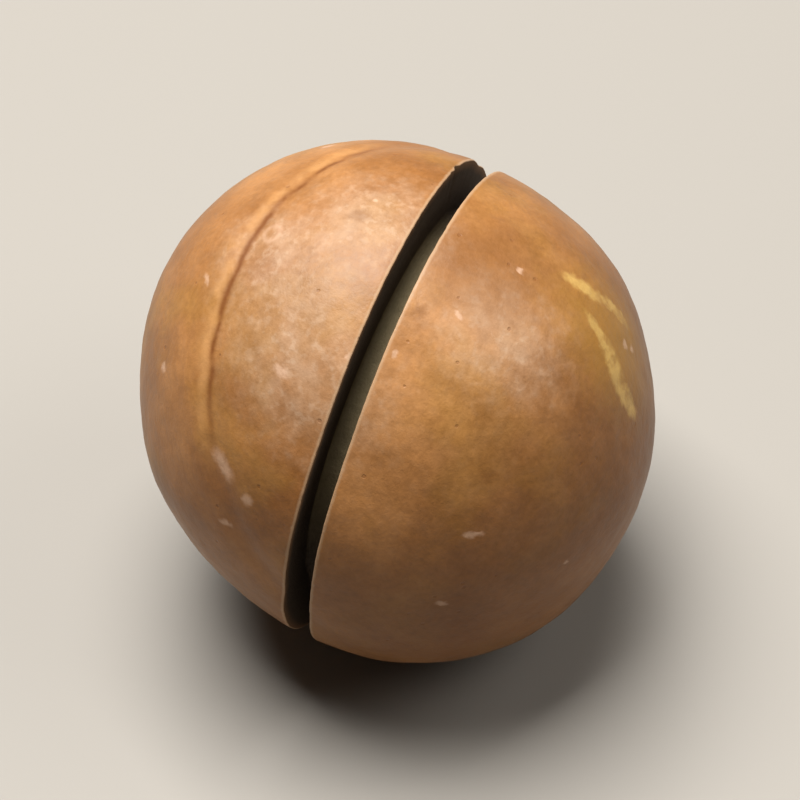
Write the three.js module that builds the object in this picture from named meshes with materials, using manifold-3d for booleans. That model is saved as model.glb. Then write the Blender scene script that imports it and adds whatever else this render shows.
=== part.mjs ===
// A macadamia nut in its shell, with the saw slit that lets it be twisted open.
// Millimetres, +Z up. The origin is the middle of the small flat spot that the nut rests on.
import * as THREE from "three";
import { mergeVertices, toCreasedNormals } from "three/addons/utils/BufferGeometryUtils.js";
import Module from "manifold-3d";

// The shell's overall form
const NUT_LENGTH = 26.5; // from the tip to the hilum, along the nut's own axis
const NUT_WIDTH = 24.5; // across the axis, on the side of the suture
const NUT_THICKNESS = 24.0; // across the axis, at right angles to the width
const SHELL_DETAIL = 17; // splits of each edge of the icosahedron that the shell starts from

// How the nut lies
const MIDDLE = [-1.0, -0.1, 12.3]; // of the nut, seen from the middle of its resting spot
const TIP_AZIMUTH = 198.6; // the tip's heading, in degrees round from +X
const TIP_ELEVATION = 51.6; // the tip's height above the horizon, in degrees
const NUT_ROLL = 59.5; // turn about the nut's own axis, in degrees, which sets the suture's side

// Low relief: the tip's point, the hilum's dish and the suture's furrow
const TIP_RISE = 0.2;
const TIP_SPREAD = 14; // degrees from the tip
const HILUM_SINK = 0.3;
const HILUM_SPREAD = 16; // degrees from the middle of the hilum
const HILUM_EDGE = -0.75; // where the suture has faded out, as a share of the way from the middle to the tip
const SUTURE_SHIFT = 1.7; // from the nut's middle plane, which the suture runs beside
const SUTURE_DEPTH = 0.12;
const SUTURE_WIDTH = 0.7; // from the furrow's middle to where it has mostly faded

// Broad swells and hollows: crests a wavelength apart along a heading in the nut's own frame
const SWELLS = [
  { heading: [0.8, 0.3, 0.5], wavelength: 19, height: 0.07, phase: 0.5 },
  { heading: [-0.4, 0.9, 0.2], wavelength: 16, height: 0.06, phase: 2.1 },
  { heading: [0.1, -0.5, 0.9], wavelength: 14, height: 0.05, phase: 4.0 },
  { heading: [0.6, 0.7, -0.4], wavelength: 10, height: 0.04, phase: 1.2 },
  { heading: [-0.7, 0.2, 0.7], wavelength: 8.5, height: 0.035, phase: 3.3 },
  { heading: [0.3, -0.8, -0.5], wavelength: 7, height: 0.03, phase: 5.1 },
];

// The saw slit, in a plane through the nut's middle that leans from upright about +Y
const KERF_WIDTH = 1.3;
const KERF_DEPTH = 3.0; // below a round nut of the mean size
const KERF_LEAN = 6.4; // degrees
const KERF_START = 42; // where the floor reaches its full depth, in degrees from +Y through the top
const KERF_END = 202; // where the floor starts to rise again
const BLADE_RADIUS = 25; // of the saw, which rounds the slit's run-out at both ends
const CUTTER_MARGIN = 2; // how far a cutting solid stands out of the shell
const ARC_STEPS = 40; // along each round stretch of the slit

// Meshing
const MERGE_DISTANCE = 1e-5; // between points that are one
const CREASE_ANGLE = 35; // degrees; sharper edges are shaded as edges

const MEAN_RADIUS = (NUT_LENGTH + NUT_WIDTH + NUT_THICKNESS) / 6;
const FLOOR_RADIUS = MEAN_RADIUS - KERF_DEPTH;

const radians = THREE.MathUtils.degToRad;
const wasm = await Module();
wasm.setup();

// A bell-shaped falloff: 1 at zero, 1/e where the distance equals the spread.
function bell(distance, spread) {
  return Math.exp(-((distance / spread) ** 2));
}

// Distance from the nut's middle to the shell's surface, along a unit vector in the nut's own frame:
// +Z through the tip, and the suture beside the XZ plane.
function shellRadius(direction) {
  const { x, y, z } = direction;
  const ellipsoid = 0.5 / Math.hypot(x / NUT_WIDTH, y / NUT_THICKNESS, z / NUT_LENGTH);
  const fromTip = Math.acos(THREE.MathUtils.clamp(z, -1, 1));
  const tip = TIP_RISE * bell(fromTip, radians(TIP_SPREAD));
  const hilum = HILUM_SINK * bell(Math.PI - fromTip, radians(HILUM_SPREAD));
  const sutureSide = THREE.MathUtils.smoothstep(z, HILUM_EDGE, 0);
  const furrow = SUTURE_DEPTH * sutureSide * bell(y * MEAN_RADIUS - SUTURE_SHIFT, SUTURE_WIDTH);
  let swell = 0;
  for (const { heading, wavelength, height, phase } of SWELLS) {
    const along = new THREE.Vector3(...heading).normalize().dot(direction) * MEAN_RADIUS;
    swell += height * Math.sin((2 * Math.PI * along) / wavelength + phase);
  }
  return ellipsoid + tip - hilum - furrow + swell;
}

// The turn from the nut's own frame to the part's frame.
function nutTurn() {
  const heading = new THREE.Matrix4().makeRotationZ(radians(TIP_AZIMUTH));
  const tilt = new THREE.Matrix4().makeRotationY(radians(90 - TIP_ELEVATION));
  const roll = new THREE.Matrix4().makeRotationZ(radians(NUT_ROLL));
  return heading.multiply(tilt).multiply(roll);
}

// The whole shell as it lies, before it is sawn and rests.
function wholeShell() {
  const sphere = new THREE.IcosahedronGeometry(1, SHELL_DETAIL);
  sphere.deleteAttribute("normal");
  sphere.deleteAttribute("uv");
  const geometry = mergeVertices(sphere, MERGE_DISTANCE);
  const position = geometry.getAttribute("position");
  const point = new THREE.Vector3();
  for (let i = 0; i < position.count; i++) {
    point.fromBufferAttribute(position, i).normalize();
    point.multiplyScalar(shellRadius(point));
    position.setXYZ(i, point.x, point.y, point.z);
  }
  return geometry.applyMatrix4(nutTurn()).translate(...MIDDLE);
}

// A closed geometry as a solid that can be cut.
function solidOf(geometry) {
  const bare = geometry.clone();
  bare.deleteAttribute("normal");
  bare.deleteAttribute("uv");
  const merged = mergeVertices(bare, MERGE_DISTANCE);
  return new wasm.Manifold(
    new wasm.Mesh({
      numProp: 3,
      vertProperties: merged.getAttribute("position").array,
      triVerts: new Uint32Array(merged.index.array),
    }),
  );
}

// A cut solid as a geometry again.
function geometryOf(solid) {
  const mesh = solid.getMesh();
  const geometry = new THREE.BufferGeometry();
  geometry.setAttribute("position", new THREE.BufferAttribute(mesh.vertProperties, 3));
  geometry.setIndex(new THREE.BufferAttribute(mesh.triVerts, 1));
  return toCreasedNormals(geometry, radians(CREASE_ANGLE));
}

// The slit's side view: a floor at one distance from the nut's middle, and the blade's own round
// at each end.
function kerfOutline() {
  const reach = FLOOR_RADIUS + BLADE_RADIUS; // from the nut's middle to the blade's
  const outside = NUT_WIDTH / 2 + CUTTER_MARGIN;
  const runOut = Math.acos(
    (outside ** 2 + reach ** 2 - BLADE_RADIUS ** 2) / (2 * outside * reach),
  );
  const swing = Math.asin((outside * Math.sin(runOut)) / BLADE_RADIUS); // of the blade, for that run-out
  const start = radians(KERF_START);
  const end = radians(KERF_END);
  const outline = new THREE.Shape();
  outline.absarc(0, 0, FLOOR_RADIUS, start, end, false);
  outline.absarc(
    reach * Math.cos(end),
    reach * Math.sin(end),
    BLADE_RADIUS,
    end + Math.PI,
    end + Math.PI - swing,
    true,
  );
  outline.absarc(0, 0, outside, end + runOut, start - runOut, true);
  outline.absarc(
    reach * Math.cos(start),
    reach * Math.sin(start),
    BLADE_RADIUS,
    start + Math.PI + swing,
    start + Math.PI,
    true,
  );
  return outline;
}

// What the saw takes away, set in the slit's plane about the nut's middle.
function kerfCutter() {
  const cutter = new THREE.ExtrudeGeometry(kerfOutline(), {
    depth: KERF_WIDTH,
    bevelEnabled: false,
    curveSegments: ARC_STEPS,
  });
  cutter.translate(0, 0, -KERF_WIDTH / 2);
  const lean = radians(KERF_LEAN);
  const level = new THREE.Vector3(0, 1, 0);
  const upright = new THREE.Vector3(Math.sin(lean), 0, Math.cos(lean));
  const across = new THREE.Vector3(Math.cos(lean), 0, -Math.sin(lean));
  cutter.applyMatrix4(new THREE.Matrix4().makeBasis(level, upright, across));
  return cutter.translate(...MIDDLE);
}

// Everything below the floor, to leave the flat resting spot.
function belowFloor() {
  const slab = new THREE.BoxGeometry(NUT_WIDTH, NUT_WIDTH, CUTTER_MARGIN);
  return slab.translate(0, 0, -CUTTER_MARGIN / 2);
}

function nut() {
  const resting = solidOf(wholeShell()).subtract(solidOf(belowFloor()));
  const sawn = resting.subtract(solidOf(kerfCutter()));
  const brownShell = new THREE.MeshStandardMaterial({
    color: 0x96643a,
    roughness: 0.45,
    metalness: 0,
  });
  const mesh = new THREE.Mesh(geometryOf(sawn), brownShell);
  mesh.name = "nut_in_shell";
  return mesh;
}

const macadamia = new THREE.Group();
macadamia.add(nut());

export default macadamia;
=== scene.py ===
"""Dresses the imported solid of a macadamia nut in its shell: grown shell, saw slit, scars and flecks."""

import math
from typing import NamedTuple

import bmesh
import bpy
from mathutils import Matrix, Vector


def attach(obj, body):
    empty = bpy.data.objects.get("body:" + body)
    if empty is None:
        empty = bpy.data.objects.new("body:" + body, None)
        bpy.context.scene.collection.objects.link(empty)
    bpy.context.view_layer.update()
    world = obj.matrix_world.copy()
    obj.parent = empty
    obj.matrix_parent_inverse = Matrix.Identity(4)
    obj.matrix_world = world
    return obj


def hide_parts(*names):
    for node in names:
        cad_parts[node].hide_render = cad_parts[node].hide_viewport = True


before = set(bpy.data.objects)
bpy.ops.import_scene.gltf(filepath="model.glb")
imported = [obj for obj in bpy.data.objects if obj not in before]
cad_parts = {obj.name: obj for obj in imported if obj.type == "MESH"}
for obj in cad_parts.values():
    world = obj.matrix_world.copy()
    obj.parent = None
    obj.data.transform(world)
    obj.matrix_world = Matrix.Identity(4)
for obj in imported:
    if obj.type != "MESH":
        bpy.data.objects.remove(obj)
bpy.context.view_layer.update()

bl_info = {
    "name": "Macadamia nut in shell",
    "version": (1, 0, 0),
    "blender": (4, 5, 0),
    "location": "3D View > Sidebar > Nut",
    "description": "Builds a macadamia nut in its shell, with its saw slit, and a plain stage for it",
    "category": "Object",
}

MM = 0.001
NODE = "nut_in_shell"


class Layer(NamedTuple):
    """Noise with features of one size, and its values between which the layer fades in."""

    size: float
    low: float
    high: float
    detail: float = 3.0
    roughness: float = 0.5


class Specks(NamedTuple):
    """Small spots: the cells that they lie in, the share of cells with one, and their radius in a cell."""

    cell: float
    share: float
    radius: float


class Marks(NamedTuple):
    """Marks of one kind, which fade from an edge to a core, both as shares of a mark's half-size.

    A place is degrees from the tip, degrees round from the suture, length, width, and the turn of the
    length, in degrees, from the line that joins the tip to the hilum.
    """

    wander: float
    places: tuple
    edge: float = 1.2
    core: float = 0.2


# Broad swells and hollows of the shell: heading in the nut's own frame, wavelength, height, phase
SWELLS = (
    ((0.8, 0.3, 0.5), 19.0 * MM, 0.07 * MM, 0.5),
    ((-0.4, 0.9, 0.2), 16.0 * MM, 0.06 * MM, 2.1),
    ((0.1, -0.5, 0.9), 14.0 * MM, 0.05 * MM, 4.0),
    ((0.6, 0.7, -0.4), 10.0 * MM, 0.04 * MM, 1.2),
    ((-0.7, 0.2, 0.7), 8.5 * MM, 0.035 * MM, 3.3),
    ((0.3, -0.8, -0.5), 7.0 * MM, 0.03 * MM, 5.1),
)

# Rows of the shell's mesh from the middle of the slit to one side, and steps round the slit
FLOOR_ROWS = 5
WALL_ROWS = 12
LIP_ROWS = 4
SIDE_ROWS = 94
HALF_ROWS = FLOOR_ROWS + WALL_ROWS + LIP_ROWS + SIDE_ROWS
ROUND_STEPS = 420
MERGE_DISTANCE = 0.002 * MM

# Fine relief: sizes of its features, and their heights as shares of the relief's depth
DENT_SIZE = 3.6 * MM
PIT_SIZE = 0.9 * MM
PIT_SHARE = 0.3
FURROW_SIZE = 1.5 * MM
FURROW_SHARE = 0.3
FURROW_SQUEEZE = 0.22  # of the noise along the nut, which draws the furrows out from tip to hilum
SCAR_SIZE = 0.8 * MM
SCAR_LEVEL = 0.6  # of the noise, where the scar is level with the skin
SCAR_SHARE = 2.2
SCAR_RIM_SHARE = 0.7
LEAST_GIRTH = 1e-4  # squared, and a share of the middle's, so that nothing is divided by nought

# Heights along the nut, as the cosine of the angle from the tip
SUTURE_END = -0.75  # where the suture has faded out towards the hilum
SCAR_RELIEF = (-0.957, -0.972)  # where the hilum's scar starts to be rough, and is fully so
SCAR_RIM = -0.962
SCAR_RIM_SPREAD = 0.006
SCAR_PAINT = (-0.958, -0.968)  # where its colour starts, and is full
SCAR_EDGE = -0.955
SCAR_EDGE_SPREAD = 0.009
SCAR_STRAY = 0.03
SHADED = (0.75, -0.35)  # where the skin starts to darken towards the hilum, and is darkest: partly the hilum half's darker skin, partly painted shade on the nut's underside
NEAR_TIP = (0.66, 0.93)  # where the suture's line starts to show, and is full

# The slit's run-out and edges
RUN_OUT_LIMIT = math.radians(45)  # past the slit's ends, where the blade is clear of the shell
SAWN_DEPTH = 0.4 * MM  # of the slit, from which its edges are fully formed
EDGES_APART = 9.0 * MM  # sideways in the noise, so that the two edges chip differently
RAGGED_SIZE = 0.5 * MM
RAGGED_SHARE = 0.5
CHIPPED = Layer(1.7 * MM, 0.65, 0.8, detail=2.0)

# Layers of the paint
PATCHES = Layer(8.0 * MM, 0.24, 0.7, detail=2.0)
OCHRE = Layer(5.0 * MM, 0.48, 0.66)
OCHRE_SHIFT = (0.02, 0.01, 0.03)  # in the noise, so that the ochre doesn't follow the patches
MOTTLE = Layer(2.3 * MM, 0.36, 0.62, detail=5.0, roughness=0.62)
STREAKS = Layer(0.11, 0.42, 0.68, detail=4.0, roughness=0.6)  # with its size as a share of the nut's radius
STREAK_SQUEEZE = 0.16
CLOUDS = Layer(1.2 * MM, 0.34, 0.7, detail=5.0, roughness=0.6)
FLECKS = Layer(0.45 * MM, 0.5, 0.68)
WORN = Layer(1.3 * MM, 0.32, 0.56)
FLAKED = Layer(0.8 * MM, 0.34, 0.56)
SCAR_FLAKES = Layer(0.7 * MM, 0.36, 0.64, detail=4.0, roughness=0.65)
PORES = Specks(1.0 * MM, 0.4, 0.12)
DUST_SPECKS = Specks(2.3 * MM, 0.14, 0.09)
SPECK_WOBBLE = 0.2  # size of a speck's wobble, as a share of its cell
SPECK_CORE = 0.5  # where a speck is full, as a share of its radius
CHANCE_FADE = 0.02
GRAIN_SIZE = 0.3 * MM
GRAIN_ROUGHNESS = 0.65
FINE_SIZE = 0.12 * MM
STRAY_SIZE = 0.5 * MM
SCAR_STRAY_SIZE = 0.9 * MM

# The suture's line, and the paler flank beside it
LINE_WIDTH = 0.2 * MM
LINE_STRAY_SIZE = 2.0 * MM
LINE_STRAY = 0.7 * MM
FLANK_SHIFT = 0.5 * MM
FLANK_WIDTH = 0.35 * MM

# The paint in and beside the slit
EDGE_LINE = (0.2 * MM, 0.06 * MM)  # from the slit, where the pale line starts, and is full
EDGE_LINE_STRAY = 0.16 * MM
EDGE_LINE_SAWN = (0.2, 0.9)
CUT_DEPTH = (0.015 * MM, 0.06 * MM)  # where the skin gives way to the cut
WALL_TOP = (0.8, 1.0)  # shares of the way up the wall, over which the dark of the lower wall gives way to the lip colour: painted shade in the slit, with the shell's darker inner layer
WALL_FOOT = (0.12, 0.0)
SCRATCH_SIZE = 0.1 * MM
DUST_AND_LIGHT_MIDDLE = (1.9 * MM, 6.3 * MM, 7.0 * MM)  # of the olive stretch of floor, dust brightened as painted light, in the nut's own frame; past it the floor fades to the walls' colour as painted shade
DUST_AND_LIGHT_REACH = (11.5 * MM, 5.0 * MM)

# How strongly each part of the paint covers what is under it
OCHRE_COVER = 0.55
MOTTLE_COVER = 0.3
SHADE_COVER = 0.58
STREAK_COVER = 0.22
FROST_AND_HIGHLIGHT_COVER = 0.62
FLANK_COVER = 0.45
LINE_COVER = 0.9
SPOT_COVER = 0.45
PORE_COVER = 0.35
HAZE_COVER = 0.42
RING_COVER = 0.28
EDGE_LINE_COVER = 0.62
SCAR_EDGE_COVER = 0.7
SCAR_COVER = 0.85

# The pale bloom, which in its zones is painted highlight as well as scuffing: its strength in those zones
# and elsewhere, and what it is made of
FROST_AND_HIGHLIGHT_IN_ZONES = 0.9
FROST_ELSEWHERE = 0.12
FROST_AND_HIGHLIGHT_VEIL = 0.34
FROST_AND_HIGHLIGHT_CLOUDS = 0.46
FROST_AND_HIGHLIGHT_FLECKS = 0.34

# Lowest and highest strength of a colour, as the fine grain or the wear goes from 0 to 1
SKIN_BY_GRAIN = (0.72, 1.28)
GOLD_BY_GRAIN = (0.42, 0.92)
GOLD_BY_FLAKES = (0.35, 1.0)
PALE_BY_GRAIN = (0.2, 0.8)
LINE_BY_WEAR = (0.4, 1.0)
LINE_BY_HEIGHT = (0.2, 1.0)
CUT_BY_SCRATCHES = (0.6, 1.0)
CUT_BY_GRAIN = 0.4

# Sheen and bump
ROUGHNESS_BY_GRAIN = 0.16
ROUGHNESS_BY_FROST = 0.12
FINE_HEIGHT = 0.35
PORE_DEPTH = 0.8

# Marks on the skin
MARK_RADIUS = 12.5 * MM  # from the nut's middle to a mark's
MARK_THICKNESS = 6.0 * MM  # through the skin, so that a mark shows wherever the shell's surface lies
FAR_AWAY = 9.0  # from every mark, in half-sizes
GOLD_STREAKS = Marks(
    wander=0.6 * MM,
    edge=1.3,
    core=0.5,
    places=(
        (82.8, 121.0, 2.7 * MM, 0.85 * MM, 4),
        (94.6, 123.2, 3.2 * MM, 0.6 * MM, 4),
        (91.0, 112.2, 2.9 * MM, 0.7 * MM, -22),
        (98.5, 108.8, 3.0 * MM, 1.2 * MM, -28),
        (105.8, 106.4, 3.2 * MM, 1.0 * MM, -4),
        (84.0, -68.0, 3.6 * MM, 0.6 * MM, 6),
        (102.0, -150.0, 4.2 * MM, 0.7 * MM, -8),
    ),
)
GOLD_HAZE = Marks(
    wander=2.0 * MM,
    places=(
        (96.0, 115.0, 12.0 * MM, 8.0 * MM, 0),
        (95.0, -105.0, 10.0 * MM, 7.0 * MM, 0),
    ),
)
PALE_SPECKS = Marks(
    wander=0.6 * MM,
    edge=1.35,
    core=0.35,
    places=(
        (47.4, 12.6, 1.8 * MM, 0.8 * MM, 15),
        (55.8, 16.4, 0.73 * MM, 0.64 * MM, 0),
        (60.9, 4.8, 0.64 * MM, 0.46 * MM, 60),
        (34.5, 47.1, 0.9 * MM, 0.6 * MM, 20),
        (28.5, -18.3, 0.5 * MM, 0.46 * MM, 0),
        (8.8, 8.2, 0.73 * MM, 0.27 * MM, 30),
        (89.7, 56.8, 1.1 * MM, 0.37 * MM, 45),
        (118.3, 65.9, 0.5 * MM, 0.3 * MM, 10),
        (100.6, 39.2, 0.55 * MM, 0.37 * MM, 45),
        (66.1, 114.8, 0.4 * MM, 0.3 * MM, 0),
        (56.3, 95.4, 0.55 * MM, 0.3 * MM, 0),
        (49.2, 77.2, 0.4 * MM, 0.35 * MM, 0),
        (42.2, 67.8, 0.5 * MM, 0.3 * MM, 40),
        (36.0, -174.0, 0.9 * MM, 0.6 * MM, 0),
        (70.0, -60.0, 1.2 * MM, 0.6 * MM, 25),
        (112.0, -125.0, 0.8 * MM, 0.5 * MM, 70),
        (100.8, 117.8, 0.55 * MM, 0.4 * MM, 0),
        (104.4, 119.4, 0.6 * MM, 0.4 * MM, 30),
    ),
)
DARK_SPOTS_AND_SHADE = Marks(
    wander=0.8 * MM,
    places=(
        (30.3, 120.4, 1.3 * MM, 1.0 * MM, 0),
        (48.7, 91.0, 1.1 * MM, 0.8 * MM, 40),
        (82.1, 68.5, 1.2 * MM, 0.9 * MM, 20),
        (75.0, -100.0, 1.6 * MM, 1.0 * MM, 0),
        (60.0, -140.0, 1.2 * MM, 1.0 * MM, 60),
        # Not a spot: a broad darker patch on the upper right, painted shade
        (57.0, 112.0, 9.0 * MM, 7.0 * MM, 0),
    ),
)
# Zones where the pale bloom is also a painted highlight
FROST_AND_HIGHLIGHT_ZONES = Marks(
    wander=3.0 * MM,
    core=0.1,
    places=(
        (15.9, 90.0, 9.0 * MM, 7.0 * MM, 0),
        (33.0, 116.0, 9.0 * MM, 8.0 * MM, 0),
        (66.5, 96.7, 9.0 * MM, 7.0 * MM, 0),
        (37.0, 56.0, 12.0 * MM, 9.0 * MM, 0),
        (70.0, -120.0, 10.0 * MM, 7.0 * MM, 30),
    ),
)
RING = Marks(wander=0.2 * MM, places=((12.1, 109.6, 0.9 * MM, 0.9 * MM, 0),))
RING_LINE = 0.3  # half the ring's line, as a share of its radius

# Lights: name, heading from the nut, distance, size and power in watts
LIGHTS = (
    ("Window light", (-0.22, 0.11, 0.97), 0.36, 0.24, 3.3),
    ("Side light", (0.65, 0.24, 0.72), 0.42, 0.24, 0.6),
)
FLOOR_SIZE = 4.0
FLOOR_ROUGHNESS = 0.7
NEAREST_SEEN = 1 * MM


def length_setting(name, description, default):
    """A size in metres."""
    return bpy.props.FloatProperty(name=name, description=description, default=default, unit="LENGTH")


def angle_setting(name, description, degrees):
    """An angle, given in degrees."""
    return bpy.props.FloatProperty(
        name=name, description=description, default=math.radians(degrees), subtype="ANGLE"
    )


def share_setting(name, description, default):
    """A number from 0 to 1."""
    return bpy.props.FloatProperty(name=name, description=description, default=default, subtype="FACTOR")


def colour_setting(name, description, red, green, blue):
    """An opaque colour."""
    return bpy.props.FloatVectorProperty(
        name=name, description=description, default=(red, green, blue, 1), size=4, subtype="COLOR"
    )


class NutShape(bpy.types.PropertyGroup):
    """The shell's form and how it lies."""

    length: length_setting("Length", "From the tip to the hilum", 26.5 * MM)
    width: length_setting("Width", "Across the nut's axis, on the side of the suture", 24.5 * MM)
    thickness: length_setting("Thickness", "Across the axis, at right angles to the width", 24.0 * MM)
    middle: bpy.props.FloatVectorProperty(
        name="Middle",
        description="The nut's middle, seen from the middle of its resting spot",
        default=(-1.0 * MM, -0.1 * MM, 12.3 * MM),
        subtype="TRANSLATION",
    )
    tip_azimuth: angle_setting("Tip azimuth", "The tip's heading, round from +X", 198.6)
    tip_elevation: angle_setting("Tip elevation", "The tip's height above the horizon", 51.6)
    roll: angle_setting("Roll", "Turn about the nut's own axis, which sets the suture's side", 59.5)
    tip_rise: length_setting("Tip rise", "Height of the tip's point", 0.2 * MM)
    tip_spread: angle_setting("Tip spread", "Angle from the tip over which its point fades", 14)
    hilum_sink: length_setting("Hilum sink", "Depth of the hilum's dish", 0.3 * MM)
    hilum_spread: angle_setting("Hilum spread", "Angle over which the hilum's dish fades", 16)
    suture_shift: length_setting("Suture shift", "From the nut's middle plane to the suture", 1.7 * MM)
    suture_depth: length_setting("Suture depth", "Depth of the suture's furrow", 0.12 * MM)
    suture_width: length_setting("Suture width", "From the furrow's middle to where it fades", 0.7 * MM)
    relief: length_setting("Relief", "Depth of the shell's small dents", 0.15 * MM)


class SlitShape(bpy.types.PropertyGroup):
    """The saw slit, in a plane through the nut's middle."""

    width: length_setting("Width", "Between the slit's walls", 1.3 * MM)
    depth: length_setting("Depth", "Below a round nut of the mean size", 3.0 * MM)
    lean: angle_setting("Lean", "Lean of the slit's plane from upright, about +Y", 6.4)
    start: angle_setting("Start", "Where the floor is at its full depth, from +Y through the top", 42)
    end: angle_setting("End", "Where the floor starts to rise again", 202)
    blade_radius: length_setting("Blade radius", "Of the saw, which rounds the slit's run-out", 25.0 * MM)
    lip: length_setting("Lip", "Round of the slit's edges", 0.07 * MM)
    chips: length_setting("Chips", "Depth of the chips along the edges", 0.13 * MM)


class ShellFinish(bpy.types.PropertyGroup):
    """The shell's colours and sheen."""

    brown: colour_setting("Brown", "The skin's darker patches", 0.235, 0.088, 0.019)
    tan: colour_setting("Tan", "The skin's paler patches", 0.41, 0.182, 0.055)
    ochre: colour_setting("Ochre", "The skin's yellow tint", 0.32, 0.148, 0.026)
    # Also used for the darkening towards the hilum, partly painted shade, and for a broad patch of painted
    # shade
    dark: colour_setting("Dark", "Dark mottling and spots", 0.14, 0.048, 0.008)
    # The bloom's colour, which also paints the highlight in its zones
    frost_and_highlight: colour_setting("Frost", "Pale bloom where the skin is scuffed", 0.48, 0.325, 0.21)
    flank: colour_setting("Flank", "Beside the suture", 0.52, 0.27, 0.1)
    suture: colour_setting("Suture", "The line of the suture, and pores", 0.15, 0.046, 0.01)
    gold: colour_setting("Gold", "Golden streaks", 0.57, 0.36, 0.105)
    haze: colour_setting("Haze", "Skin round the streaks", 0.42, 0.215, 0.03)
    pale: colour_setting("Pale", "Pale specks", 0.62, 0.4, 0.27)
    rim: colour_setting("Rim", "The line along the slit's edges", 0.42, 0.27, 0.155)
    # Lip and wall: the walls darken downwards, partly the shell's darker inner layer, partly painted shade
    # in the slit
    lip: colour_setting("Lip", "The top of the slit's walls", 0.16, 0.085, 0.04)
    wall: colour_setting("Wall", "The slit's walls", 0.06, 0.04, 0.024)
    # The floor's olive is partly painted light, brighter than the shade deep in the slit would leave it
    floor: colour_setting("Floor", "The slit's floor", 0.22, 0.17, 0.09)
    scar: colour_setting("Scar", "The hilum's rough scar", 0.2, 0.098, 0.035)
    gloss: share_setting("Gloss", "Strength of the skin's shine", 0.25)
    roughness: share_setting("Roughness", "Of the shell's skin", 0.42)
    cut_roughness: share_setting("Cut roughness", "Of the slit and the hilum", 0.85)
    bump: length_setting("Bump", "Height of the finest grain", 0.02 * MM)


class StageSetup(bpy.types.PropertyGroup):
    """The camera, the room and the floor."""

    azimuth: angle_setting("Azimuth", "The camera's heading round the nut, from the front", 23)
    elevation: angle_setting("Elevation", "The camera's height above the horizon", 49)
    distance: length_setting("Distance", "From the camera to the nut's middle", 200 * MM)
    lens: bpy.props.FloatProperty(
        name="Lens", description="Focal length in millimetres", default=186.0, unit="CAMERA"
    )
    room: colour_setting("Room", "The light from all round", 1.0, 0.93, 0.84)
    room_strength: share_setting("Room strength", "Of the light from all round", 0.05)
    floor: colour_setting("Floor", "The plain floor", 0.29, 0.265, 0.23)


GROUPS = {
    "nut_shape": NutShape,
    "slit_shape": SlitShape,
    "shell_finish": ShellFinish,
    "nut_stage": StageSetup,
}


class Wire:
    """A node's output, which adds and scales as a number or a vector does."""

    def __init__(self, graph, socket):
        self.graph = graph
        self.socket = socket

    @staticmethod
    def _is_vector(value):
        if isinstance(value, Wire):
            return value.socket.type in {"VECTOR", "RGBA"}
        return isinstance(value, (Vector, tuple))

    def _pair(self, operation, first, second):
        vectors = [self._is_vector(value) for value in (first, second)]
        if not any(vectors):
            return self.graph.math(operation, first, second)
        if operation == "MULTIPLY" and not all(vectors):
            vector, number = (first, second) if vectors[0] else (second, first)
            return self.graph.vector("SCALE", vector, Scale=number)
        return self.graph.vector(operation, first, second)

    def __add__(self, other):
        return self._pair("ADD", self, other)

    def __radd__(self, other):
        return self._pair("ADD", other, self)

    def __sub__(self, other):
        return self._pair("SUBTRACT", self, other)

    def __rsub__(self, other):
        return self._pair("SUBTRACT", other, self)

    def __mul__(self, other):
        return self._pair("MULTIPLY", self, other)

    def __rmul__(self, other):
        return self._pair("MULTIPLY", other, self)

    def __truediv__(self, other):
        return self._pair("DIVIDE", self, other)

    def __rtruediv__(self, other):
        return self._pair("DIVIDE", other, self)

    def __pow__(self, other):
        return self.graph.math("POWER", self, other)

    def __neg__(self):
        return self * -1.0

    def dot(self, other):
        return self.graph.vector("DOT_PRODUCT", self, other, output="Value")

    def length(self):
        return self.graph.vector("LENGTH", self, output="Value")

    def parts(self):
        x = self.graph.add("ShaderNodeSeparateXYZ", {}, {"Vector": self}, output="X")
        return x, x.beside("Y"), x.beside("Z")

    def beside(self, output):
        """Another output of the same node."""
        return Wire(self.graph, self.socket.node.outputs[output])


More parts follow.
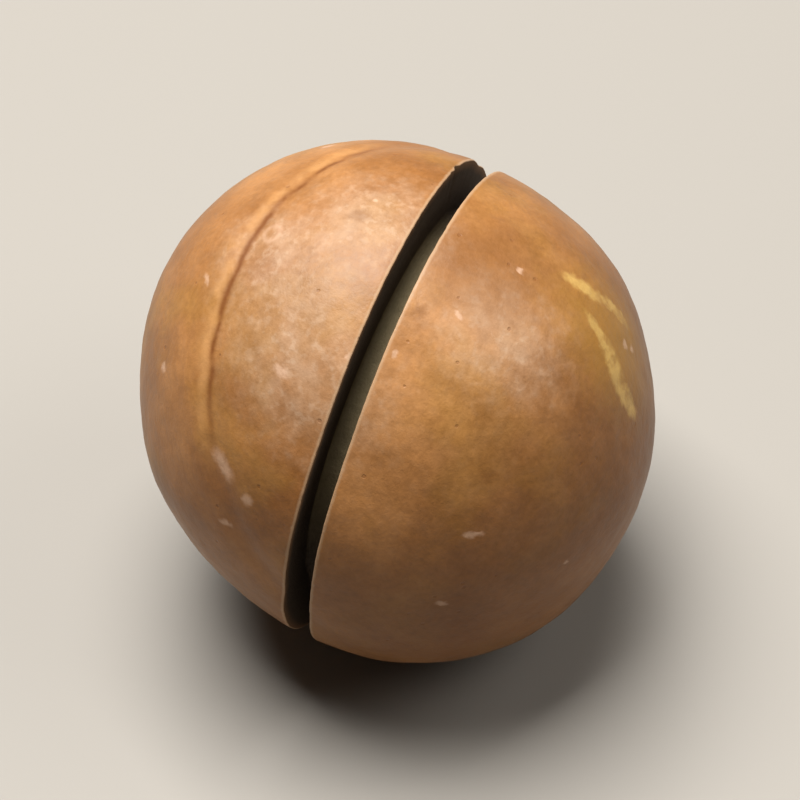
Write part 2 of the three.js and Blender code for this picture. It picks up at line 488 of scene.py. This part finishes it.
class Graph:
    """Adds nodes to one node tree."""

    def __init__(self, tree):
        self.tree = tree

    def add(self, kind, settings, sockets, output=0):
        """One node: its settings first, then its sockets' values or links. Returns one output."""
        node = self.tree.nodes.new(kind)
        for name, value in settings.items():
            setattr(node, name, value)
        for name, value in sockets.items():
            if isinstance(value, Wire):
                self.tree.links.new(value.socket, node.inputs[name])
            else:
                node.inputs[name].default_value = value
        return Wire(self, node.outputs[output]) if node.outputs else node

    def math(self, operation, *values):
        return self.add("ShaderNodeMath", {"operation": operation}, dict(enumerate(values)))

    def vector(self, operation, *values, output="Vector", **sockets):
        sockets = {**dict(enumerate(values)), **sockets}
        return self.add("ShaderNodeVectorMath", {"operation": operation}, sockets, output)

    def combine(self, x, y, z):
        return self.add("ShaderNodeCombineXYZ", {}, {"X": x, "Y": y, "Z": z})

    def bell(self, distance, spread):
        """1 where the distance is nought, falling to 1/e at the spread."""
        return self.math("EXPONENT", -((distance / spread) ** 2.0))

    def ease(self, value, low, high):
        """0 at the low value and 1 at the high one, smooth between, whichever is the greater."""
        if low > high:
            return 1.0 - self.ease(value, high, low)
        settings = {"interpolation_type": "SMOOTHSTEP", "clamp": True}
        return self.add("ShaderNodeMapRange", settings, {"Value": value, "From Min": low, "From Max": high})

    def share(self, value, low, high):
        """0 up to the low value and 1 from the high one, straight between."""
        sockets = {"Value": value, "From Min": low, "From Max": high}
        return self.add("ShaderNodeMapRange", {"clamp": True}, sockets)

    def span(self, value, low, high):
        """From the low number to the high one as the value goes from 0 to 1."""
        return low + (high - low) * value

    def noise(self, place, size, detail=2.0, roughness=0.5):
        """Noise from 0 to 1 with features of about that size."""
        sockets = {"Vector": place, "Scale": 1.0 / size, "Detail": detail, "Roughness": roughness}
        return self.add("ShaderNodeTexNoise", {}, sockets)

    def stray(self, place, size, detail=2.0):
        """Noise about nought."""
        return self.noise(place, size, detail) - 0.5

    def layer(self, place, layer):
        """How far a layer of noise has faded in at a place."""
        noise = self.noise(place, layer.size, layer.detail, layer.roughness)
        return self.ease(noise, layer.low, layer.high)

    def fibre(self, x, y, z, squeeze):
        """The nut's girth at a unit vector's height, and a place for noise drawn out from tip to hilum."""
        girth = self.math("SQRT", self.math("MAXIMUM", 1.0 - z * z, LEAST_GIRTH))
        return girth, self.combine(x / girth, y / girth, z * squeeze)

    def blend(self, factor, first, second):
        """A colour between two."""
        return self.add("ShaderNodeMix", {"data_type": "RGBA"}, {0: factor, 6: first, 7: second}, output=2)


def nut_axes(nut):
    """The nut's own X, Y and Z in the part's frame: the suture's side, across it, and the tip."""
    turn = (
        Matrix.Rotation(nut.tip_azimuth, 3, "Z")
        @ Matrix.Rotation(math.radians(90) - nut.tip_elevation, 3, "Y")
        @ Matrix.Rotation(nut.roll, 3, "Z")
    )
    return [turn.col[i].copy() for i in range(3)]


def slit_axes(slit):
    """Level, upright and across in the slit's plane and off it."""
    sine, cosine = math.sin(slit.lean), math.cos(slit.lean)
    return Vector((0, 1, 0)), Vector((sine, 0, cosine)), Vector((cosine, 0, -sine))


def tree_inputs(nut, slit):
    """The shell tree's inputs: name, socket type and value."""
    suture, cross, tip = nut_axes(nut)
    level, upright, across = slit_axes(slit)
    number, place = "NodeSocketFloat", "NodeSocketVector"
    return (
        ("Length", number, nut.length),
        ("Width", number, nut.width),
        ("Thickness", number, nut.thickness),
        ("Middle", place, nut.middle),
        ("Suture axis", place, suture),
        ("Cross axis", place, cross),
        ("Tip axis", place, tip),
        ("Tip rise", number, nut.tip_rise),
        ("Tip spread", number, nut.tip_spread),
        ("Hilum sink", number, nut.hilum_sink),
        ("Hilum spread", number, nut.hilum_spread),
        ("Suture shift", number, nut.suture_shift),
        ("Suture depth", number, nut.suture_depth),
        ("Suture width", number, nut.suture_width),
        ("Relief", number, nut.relief),
        ("Slit width", number, slit.width),
        ("Slit depth", number, slit.depth),
        ("Slit start", number, slit.start),
        ("Slit end", number, slit.end),
        ("Blade radius", number, slit.blade_radius),
        ("Lip", number, slit.lip),
        ("Chips", number, slit.chips),
        ("Slit level", place, level),
        ("Slit upright", place, upright),
        ("Slit across", place, across),
    )


class ShellTree:
    """The Geometry Nodes tree that grows the shell and saws it."""

    def __init__(self, inputs):
        self.tree = bpy.data.node_groups.new("Nut shell", "GeometryNodeTree")
        self.tree.is_modifier = True
        for name, kind, _ in inputs:
            self.tree.interface.new_socket(name, in_out="INPUT", socket_type=kind)
        self.tree.interface.new_socket("Material", in_out="INPUT", socket_type="NodeSocketMaterial")
        self.tree.interface.new_socket("Geometry", in_out="OUTPUT", socket_type="NodeSocketGeometry")
        self.graph = Graph(self.tree)
        entry = self.tree.nodes.new("NodeGroupInput")
        self.given = {socket.name: Wire(self.graph, socket) for socket in entry.outputs if socket.name}
        self.mean_radius = (self.given["Length"] + self.given["Width"] + self.given["Thickness"]) / 6.0

    def own_parts(self, place):
        """A vector's parts in the nut's own frame."""
        return [place.dot(self.given[name]) for name in ("Suture axis", "Cross axis", "Tip axis")]

    def radius(self, direction):
        """From the nut's middle to the shell, along a unit vector: the same form as the solid's."""
        graph, given = self.graph, self.given
        x, y, z = self.own_parts(direction)
        flat = (x / given["Width"]) ** 2.0 + (y / given["Thickness"]) ** 2.0 + (z / given["Length"]) ** 2.0
        ellipsoid = 0.5 / graph.math("SQRT", flat)
        from_tip = graph.math("ARCCOSINE", graph.math("MINIMUM", graph.math("MAXIMUM", z, -1.0), 1.0))
        tip = given["Tip rise"] * graph.bell(from_tip, given["Tip spread"])
        hilum = given["Hilum sink"] * graph.bell(math.pi - from_tip, given["Hilum spread"])
        beside = y * self.mean_radius - given["Suture shift"]
        furrow = given["Suture depth"] * graph.bell(beside, given["Suture width"])
        radius = ellipsoid + tip - hilum - furrow * graph.ease(z, SUTURE_END, 0.0)
        own = graph.combine(x, y, z)
        for heading, wavelength, height, phase in SWELLS:
            along = own.dot(Vector(heading).normalized()) * self.mean_radius
            radius = radius + height * graph.math("SINE", along * (2 * math.pi / wavelength) + phase)
        return radius

    def relief(self, direction):
        """Small dents, pits and furrows of the shell, and the roughness of the hilum's scar."""
        graph = self.graph
        x, y, z = self.own_parts(direction)
        place = direction * self.mean_radius
        dents = graph.stray(place, DENT_SIZE)
        pits = graph.stray(place, PIT_SIZE)
        girth, fibre = graph.fibre(x, y, z, FURROW_SQUEEZE)
        furrows = graph.stray(fibre * self.mean_radius, FURROW_SIZE) * girth
        rough = graph.noise(place, SCAR_SIZE, detail=3.0, roughness=0.6) - SCAR_LEVEL
        scar = graph.ease(z, *SCAR_RELIEF) * rough
        rim = graph.bell(z - SCAR_RIM, SCAR_RIM_SPREAD)
        skin = dents + pits * PIT_SHARE + furrows * FURROW_SHARE
        return self.given["Relief"] * (skin + scar * SCAR_SHARE + rim * SCAR_RIM_SHARE)

    def floor_radius(self, around):
        """From the nut's middle to the slit's floor, which runs out along the blade's round."""
        graph, given = self.graph, self.given
        past = graph.math("MAXIMUM", given["Slit start"] - around, around - given["Slit end"])
        past = graph.math("MINIMUM", graph.math("MAXIMUM", past, 0.0), RUN_OUT_LIMIT)
        blade = given["Blade radius"]
        reach = self.mean_radius - given["Slit depth"] + blade
        sideways = reach * graph.math("SINE", past)
        return reach * graph.math("COSINE", past) - graph.math("SQRT", blade * blade - sideways * sideways)

    def edge(self, spoke, side):
        """How far the slit's edge has chipped away, on one side of it."""
        graph, given = self.graph, self.given
        place = spoke * self.mean_radius + given["Slit across"] * (side * EDGES_APART)
        ragged = graph.stray(place, RAGGED_SIZE, detail=3.0)
        return given["Chips"] * (ragged * RAGGED_SHARE + graph.layer(place, CHIPPED))

    def surface(self, around, row):
        """Where a point of the flat grid goes on the shell, and what is stored there for the paint."""
        graph, given = self.graph, self.given
        side = graph.math("SIGN", row)
        row = graph.math("ABSOLUTE", row)
        on_floor = graph.share(row, 0.0, FLOOR_ROWS)
        on_wall = graph.share(row, FLOOR_ROWS, FLOOR_ROWS + WALL_ROWS)
        on_lip = graph.share(row, FLOOR_ROWS + WALL_ROWS, HALF_ROWS - SIDE_ROWS) * (math.pi / 2)
        on_side = graph.share(row, HALF_ROWS - SIDE_ROWS, HALF_ROWS)

        level, upright = graph.math("COSINE", around), graph.math("SINE", around)
        spoke = given["Slit level"] * level + given["Slit upright"] * upright
        rim_radius = self.radius(spoke)
        full_depth = graph.math("MAXIMUM", rim_radius - self.floor_radius(around), 0.0)
        lip = graph.math("MINIMUM", given["Lip"], full_depth)
        sawn = graph.share(full_depth, 0.0, SAWN_DEPTH)
        depth = full_depth * (1.0 - on_wall) + lip * on_wall * (1.0 - graph.math("SINE", on_lip))
        half_width = given["Slit width"] * 0.5 + self.edge(spoke, side) * on_wall * on_wall * sawn
        from_plane = half_width * on_floor + lip * (1.0 - graph.math("COSINE", on_lip))
        slant = graph.math("ARCCOSINE", from_plane / rim_radius) * (1.0 - on_side)
        outward, sideways = graph.math("SINE", slant), graph.math("COSINE", slant) * side
        direction = spoke * outward + given["Slit across"] * sideways
        radius = self.radius(direction) + self.relief(direction)
        place = spoke * (radius * outward - depth) + given["Slit across"] * (radius * sideways)
        x, y, z = (place + given["Middle"]).parts()
        resting = graph.combine(x, y, graph.math("MAXIMUM", z, 0.0))
        beside = radius * graph.math("ABSOLUTE", sideways) - given["Slit width"] * 0.5
        stored = (
            ("own_place", "FLOAT_VECTOR", graph.combine(*self.own_parts(place))),
            ("slit_depth", "FLOAT", depth),
            ("up_wall", "FLOAT", on_wall),
            ("beside_slit", "FLOAT", beside),
            ("sawn", "FLOAT", sawn),
        )
        return resting, stored

    def build(self):
        """The whole tree: a flat grid, wrapped round the nut and closed."""
        graph = self.graph
        rows = 2 * HALF_ROWS + 1
        sockets = {"Size X": 1.0, "Size Y": 1.0, "Vertices X": ROUND_STEPS + 1, "Vertices Y": rows}
        mesh = graph.add("GeometryNodeMeshGrid", {}, sockets, output="Mesh")
        u, v, _ = graph.add("GeometryNodeInputPosition", {}, {}).parts()
        around = (u + 0.5) * (2 * math.pi)
        row = graph.math("ROUND", v * (2.0 * HALF_ROWS))
        resting, stored = self.surface(around, row)
        for name, kind, value in stored:
            settings = {"data_type": kind, "domain": "POINT"}
            sockets = {"Geometry": mesh, "Name": name, "Value": value}
            mesh = graph.add("GeometryNodeStoreNamedAttribute", settings, sockets)
        mesh = graph.add("GeometryNodeSetPosition", {}, {"Geometry": mesh, "Position": resting})
        mesh = graph.add("GeometryNodeMergeByDistance", {}, {"Geometry": mesh, "Distance": MERGE_DISTANCE})
        mesh = graph.add("GeometryNodeSetShadeSmooth", {}, {0: mesh})
        mesh = graph.add("GeometryNodeRealizeInstances", {}, {"Geometry": mesh})
        material = self.given["Material"]
        mesh = graph.add("GeometryNodeSetMaterial", {}, {"Geometry": mesh, "Material": material})
        exit_node = self.tree.nodes.new("NodeGroupOutput")
        self.tree.links.new(mesh.socket, exit_node.inputs["Geometry"])
        return self.tree


def mark_frame(from_tip, around, length, width, heading):
    """A mark's place in the nut's own frame, its turn, and its half-sizes."""
    turn = Matrix.Rotation(math.radians(around), 3, "Z") @ Matrix.Rotation(math.radians(from_tip), 3, "Y")
    location = turn @ Vector((0, 0, MARK_RADIUS))
    turn = turn @ Matrix.Rotation(math.radians(heading), 3, "Z")
    return location, turn.to_euler(), (length / 2, width / 2, MARK_THICKNESS / 2)


def set_input(modifier, name, value):
    """Sets one of a Geometry Nodes modifier's inputs by its identifier."""
    for item in modifier.node_group.interface.items_tree:
        if item.item_type == "SOCKET" and item.in_out == "INPUT" and item.name == name:
            modifier[item.identifier] = value
            return
    raise ValueError(f"the tree has no input named {name}")


def plain_mesh(obj):
    """Turns what the object's modifiers make into its own plain mesh."""
    depsgraph = bpy.context.evaluated_depsgraph_get()
    mesh = bpy.data.meshes.new_from_object(
        obj.evaluated_get(depsgraph), preserve_all_data_layers=True, depsgraph=depsgraph
    )
    obj.modifiers.clear()
    empty, obj.data = obj.data, mesh
    bpy.data.meshes.remove(empty)
    mesh.name = obj.name


def face_outwards(obj):
    """Checks that the piece is one closed surface, and turns its faces out."""
    shape = bmesh.new()
    shape.from_mesh(obj.data)
    open_edges = sum(not edge.is_manifold for edge in shape.edges)
    if open_edges:
        raise RuntimeError(f"{obj.name} isn't closed: {open_edges} loose edges")
    if shape.calc_volume(signed=True) < 0:
        bmesh.ops.reverse_faces(shape, faces=shape.faces)
    shape.to_mesh(obj.data)
    shape.free()


class ShellPaint:
    """The shell's material, which reads the places stored on its mesh."""

    def __init__(self, finish, suture_shift):
        self.finish = finish
        self.suture_shift = suture_shift
        self.material = bpy.data.materials.new("Macadamia shell")
        self.material.use_nodes = True
        self.material.node_tree.nodes.clear()
        graph = self.graph = Graph(self.material.node_tree)
        self.place = self.stored("own_place", "Vector")
        self.depth = self.stored("slit_depth", "Fac")
        self.direction = graph.vector("NORMALIZE", self.place)
        self.toward_tip = self.direction.parts()[2]
        self.cut = graph.ease(self.depth, *CUT_DEPTH)
        strayed = self.toward_tip + graph.stray(self.place, SCAR_STRAY_SIZE, detail=3.0) * SCAR_STRAY
        self.scar = graph.ease(strayed, *SCAR_PAINT)
        self.scar_edge = graph.bell(strayed - SCAR_EDGE, SCAR_EDGE_SPREAD)
        self.grain = graph.noise(self.place, GRAIN_SIZE, detail=3.0, roughness=GRAIN_ROUGHNESS)
        self.wander = graph.noise(self.place, STRAY_SIZE, detail=3.0).beside("Color") - (0.5, 0.5, 0.5)
        self.pores = self.specks(PORES)

    def stored(self, name, output):
        return self.graph.add("ShaderNodeAttribute", {"attribute_name": name}, {}, output)

    def reach(self, marks):
        """Distance to the nearest mark as a share of its half-size, with a wandering edge."""
        graph = self.graph
        place = self.place + self.wander * marks.wander
        nearest = FAR_AWAY
        for mark in marks.places:
            location, turn, size = mark_frame(*mark)
            sockets = {"Vector": place, "Location": location, "Rotation": turn, "Scale": size}
            local = graph.add("ShaderNodeMapping", {"vector_type": "TEXTURE"}, sockets)
            nearest = graph.math("MINIMUM", local.length(), nearest)
        return nearest

    def marked(self, marks):
        """1 in a mark's core, fading to 0 at its edge."""
        return self.graph.ease(self.reach(marks), marks.edge, marks.core)

    def specks(self, specks):
        """Small spots in some of the cells."""
        graph = self.graph
        sockets = {"Vector": self.place, "Scale": 1.0 / specks.cell}
        distance = graph.add("ShaderNodeTexVoronoi", {}, sockets, "Distance")
        chance = distance.beside("Color").parts()[0]
        wobble = graph.stray(self.place, specks.cell * SPECK_WOBBLE) * specks.radius
        spots = graph.ease(distance + wobble, specks.radius, specks.radius * SPECK_CORE)
        return spots * graph.ease(chance, specks.share + CHANCE_FADE, specks.share)

    def skin(self):
        """Brown and tan patches, mottled and finely streaked from the tip to the hilum."""
        graph, finish, place = self.graph, self.finish, self.place
        colour = graph.blend(graph.layer(place, PATCHES), finish.brown, finish.tan)
        colour = graph.blend(graph.layer(place + OCHRE_SHIFT, OCHRE) * OCHRE_COVER, colour, finish.ochre)
        mottle = 1.0 - graph.layer(place, MOTTLE)
        colour = graph.blend(mottle * MOTTLE_COVER, colour, finish.dark)
        # Darker towards the hilum: partly the skin's own tone, partly painted shade on the underside
        colour = graph.blend(graph.ease(self.toward_tip, *SHADED) * SHADE_COVER, colour, finish.dark)
        girth, fibre = graph.fibre(*self.direction.parts(), STREAK_SQUEEZE)
        streaks = graph.layer(fibre, STREAKS) * girth
        colour = graph.blend(streaks * STREAK_COVER, colour, finish.dark)
        return colour * graph.span(self.grain, *SKIN_BY_GRAIN)

    def frost_and_highlight(self):
        """How far the skin is scuffed to a pale bloom, which in its zones is also a painted highlight."""
        graph, place = self.graph, self.place
        zones = self.marked(FROST_AND_HIGHLIGHT_ZONES) * FROST_AND_HIGHLIGHT_IN_ZONES + FROST_ELSEWHERE
        clouds = graph.layer(place, CLOUDS) * FROST_AND_HIGHLIGHT_CLOUDS
        return zones * (FROST_AND_HIGHLIGHT_VEIL + clouds + graph.layer(place, FLECKS) * FROST_AND_HIGHLIGHT_FLECKS)

    def suture(self, colour):
        """The dark line of the suture, and the paler skin on its outer side."""
        graph, finish = self.graph, self.finish
        stray = graph.stray(self.place, LINE_STRAY_SIZE, detail=3.0) * LINE_STRAY
        across = self.place.parts()[1] - self.suture_shift + stray
        worn = graph.layer(self.place, WORN)
        near_tip = graph.ease(self.toward_tip, *NEAR_TIP)
        flank = graph.bell(across + FLANK_SHIFT, FLANK_WIDTH) * near_tip * worn
        colour = graph.blend(flank * FLANK_COVER, colour, finish.flank)
        line = graph.bell(across, LINE_WIDTH) * graph.span(worn, *LINE_BY_WEAR)
        line = line * graph.span(near_tip, *LINE_BY_HEIGHT)
        return graph.blend(line * LINE_COVER, colour, finish.suture)

    def marks(self, colour):
        """Golden streaks, pale specks, the ring by the tip, dark spots with a broad patch of painted shade,
        and pores.
        """
        graph, finish = self.graph, self.finish
        # Dark spots, and one broad patch of painted shade
        colour = graph.blend(self.marked(DARK_SPOTS_AND_SHADE) * SPOT_COVER, colour, finish.dark)
        colour = graph.blend(self.pores * PORE_COVER, colour, finish.suture)
        colour = graph.blend(self.marked(GOLD_HAZE) * HAZE_COVER, colour, finish.haze)
        flaked = graph.span(graph.layer(self.place, FLAKED), *GOLD_BY_FLAKES)
        gold = self.marked(GOLD_STREAKS) * flaked * graph.span(self.grain, *GOLD_BY_GRAIN)
        colour = graph.blend(gold, colour, finish.gold)
        pale = graph.math("MAXIMUM", self.marked(PALE_SPECKS), self.specks(DUST_SPECKS))
        colour = graph.blend(pale * graph.span(self.grain, *PALE_BY_GRAIN), colour, finish.pale)
        ring = graph.bell(self.reach(RING) - 1.0, RING_LINE)
        return graph.blend(ring * RING_COVER, colour, finish.pale)

    def slit(self, colour):
        """The pale line along the slit's edges, its dark walls and its olive floor; the walls' dark and the
        floor's fade towards its ends are partly painted shade.
        """
        graph, finish = self.graph, self.finish
        beside = self.stored("beside_slit", "Fac") + (self.grain - 0.5) * EDGE_LINE_STRAY
        line = graph.ease(beside, *EDGE_LINE) * graph.ease(self.stored("sawn", "Fac"), *EDGE_LINE_SAWN)
        colour = graph.blend(line * EDGE_LINE_COVER, colour, finish.rim)
        up_wall = self.stored("up_wall", "Fac")
        # Darker down the walls: painted shade in the slit, with the shell's darker inner layer
        inside = graph.blend(graph.ease(up_wall, *WALL_TOP), finish.wall, finish.lip)
        # Olive floor in a middle stretch, dust with painted light, fading to painted shade towards the
        # slit's ends
        from_dust_and_light = graph.vector("DISTANCE", self.place, DUST_AND_LIGHT_MIDDLE, output="Value")
        dust_and_light = graph.ease(up_wall, *WALL_FOOT) * graph.ease(from_dust_and_light, *DUST_AND_LIGHT_REACH)
        inside = graph.blend(dust_and_light, inside, finish.floor)
        scratches = graph.noise(graph.combine(self.depth, 0.0, 0.0), SCRATCH_SIZE, detail=3.0)
        inside = inside * (graph.span(scratches, *CUT_BY_SCRATCHES) + self.grain * CUT_BY_GRAIN)
        return graph.blend(self.cut, colour, inside)

    def build(self):
        """The whole material: colour, roughness and bump."""
        graph, finish = self.graph, self.finish
        # Pale bloom, with a painted highlight in its zones
        frost_and_highlight = self.frost_and_highlight()
        colour = graph.blend(frost_and_highlight * FROST_AND_HIGHLIGHT_COVER, self.skin(), finish.frost_and_highlight)
        colour = self.marks(self.suture(colour))
        colour = graph.blend(self.scar_edge * SCAR_EDGE_COVER, colour, finish.dark)
        scar = graph.blend(graph.layer(self.place, SCAR_FLAKES), finish.scar, finish.rim)
        colour = self.slit(graph.blend(self.scar * SCAR_COVER, colour, scar))
        raw = graph.math("MAXIMUM", self.cut, self.scar)
        roughness = finish.roughness + ROUGHNESS_BY_GRAIN * (self.grain - 0.5) + ROUGHNESS_BY_FROST * frost_and_highlight
        roughness = roughness + raw * (finish.cut_roughness - roughness)
        fine = graph.noise(self.place, FINE_SIZE)
        height = self.grain + fine * FINE_HEIGHT + raw * fine - self.pores * PORE_DEPTH
        sockets = {"Strength": 1.0, "Distance": finish.bump, "Height": height}
        sockets = {
            "Base Color": colour,
            "Roughness": roughness,
            "Normal": graph.add("ShaderNodeBump", {}, sockets),
            "Specular IOR Level": finish.gloss,
        }
        shader = graph.add("ShaderNodeBsdfPrincipled", {}, sockets)
        graph.add("ShaderNodeOutputMaterial", {}, {"Surface": shader})
        return self.material


class NUT_OT_shell(bpy.types.Operator):
    """Grow the nut's shell, saw its slit and finish it"""

    bl_idname = "nut.shell"
    bl_label = "Build the nut"

    def execute(self, context):
        nut, slit = context.scene.nut_shape, context.scene.slit_shape
        inputs = tree_inputs(nut, slit)
        piece = bpy.data.objects.new("macadamia_nut", bpy.data.meshes.new("macadamia_nut"))
        context.scene.collection.objects.link(piece)
        modifier = piece.modifiers.new("Nut shell", "NODES")
        modifier.node_group = ShellTree(inputs).build()
        for name, _, value in inputs:
            set_input(modifier, name, value)
        set_input(modifier, "Material", ShellPaint(context.scene.shell_finish, nut.suture_shift).build())
        plain_mesh(piece)
        face_outwards(piece)
        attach(piece, "root")
        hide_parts(NODE)
        return {"FINISHED"}


def light_room(scene, colour, strength):
    """A faint even light from all round."""
    world = bpy.data.worlds.new("Pale room")
    world.use_nodes = True
    backdrop = world.node_tree.nodes["Background"]
    backdrop.inputs["Color"].default_value = colour
    backdrop.inputs["Strength"].default_value = strength
    scene.world = world


def lay_floor(colour):
    """A plain floor under the nut."""
    bpy.ops.mesh.primitive_plane_add(size=FLOOR_SIZE)
    floor = bpy.context.object
    floor.name = "floor"
    paint = bpy.data.materials.new("Pale floor")
    paint.use_nodes = True
    shader = paint.node_tree.nodes["Principled BSDF"]
    shader.inputs["Base Color"].default_value = colour
    shader.inputs["Roughness"].default_value = FLOOR_ROUGHNESS
    floor.data.materials.append(paint)


def place_facing(scene, name, data, target, heading, distance):
    """A light or a camera that stands off from its target along a heading, and faces it."""
    obj = bpy.data.objects.new(name, data)
    away = heading.normalized()
    obj.location = target + away * distance
    obj.rotation_euler = away.to_track_quat("Z", "Y").to_euler()
    scene.collection.objects.link(obj)
    return obj


class NUT_OT_stage(bpy.types.Operator):
    """Lay the floor and set the lights and the camera"""

    bl_idname = "nut.stage"
    bl_label = "Build the stage"

    def execute(self, context):
        scene, setup = context.scene, context.scene.nut_stage
        scene.view_settings.view_transform = "Standard"
        light_room(scene, setup.room, setup.room_strength)
        lay_floor(setup.floor)
        target = Vector(scene.nut_shape.middle)
        for name, heading, distance, size, power in LIGHTS:
            light = bpy.data.lights.new(name, "AREA")
            light.shape = "SQUARE"
            light.size = size
            light.energy = power
            place_facing(scene, name, light, target, Vector(heading), distance)
        camera = bpy.data.cameras.new("Camera")
        camera.lens = setup.lens
        camera.clip_start = NEAREST_SEEN
        level = math.cos(setup.elevation)
        heading = Vector(
            (math.sin(setup.azimuth) * level, -math.cos(setup.azimuth) * level, math.sin(setup.elevation))
        )
        scene.camera = place_facing(scene, "Camera", camera, target, heading, setup.distance)
        return {"FINISHED"}


class NUT_PT_panel(bpy.types.Panel):
    """Lists the nut's settings and its operators"""

    bl_idname = "NUT_PT_panel"
    bl_label = "Macadamia nut"
    bl_space_type = "VIEW_3D"
    bl_region_type = "UI"
    bl_category = "Nut"

    def draw(self, context):
        for group_name, group in GROUPS.items():
            box = self.layout.box()
            for name in group.__annotations__:
                box.prop(getattr(context.scene, group_name), name)
        for operator in (NUT_OT_shell, NUT_OT_stage):
            self.layout.operator(operator.bl_idname)


CLASSES = (*GROUPS.values(), NUT_OT_shell, NUT_OT_stage, NUT_PT_panel)


def register():
    for cls in CLASSES:
        bpy.utils.register_class(cls)
    for name, group in GROUPS.items():
        setattr(bpy.types.Scene, name, bpy.props.PointerProperty(type=group))


def unregister():
    for name in GROUPS:
        delattr(bpy.types.Scene, name)
    for cls in reversed(CLASSES):
        bpy.utils.unregister_class(cls)


def main():
    register()
    bpy.ops.nut.shell()
    bpy.ops.nut.stage()


if __name__ == "__main__":
    main()
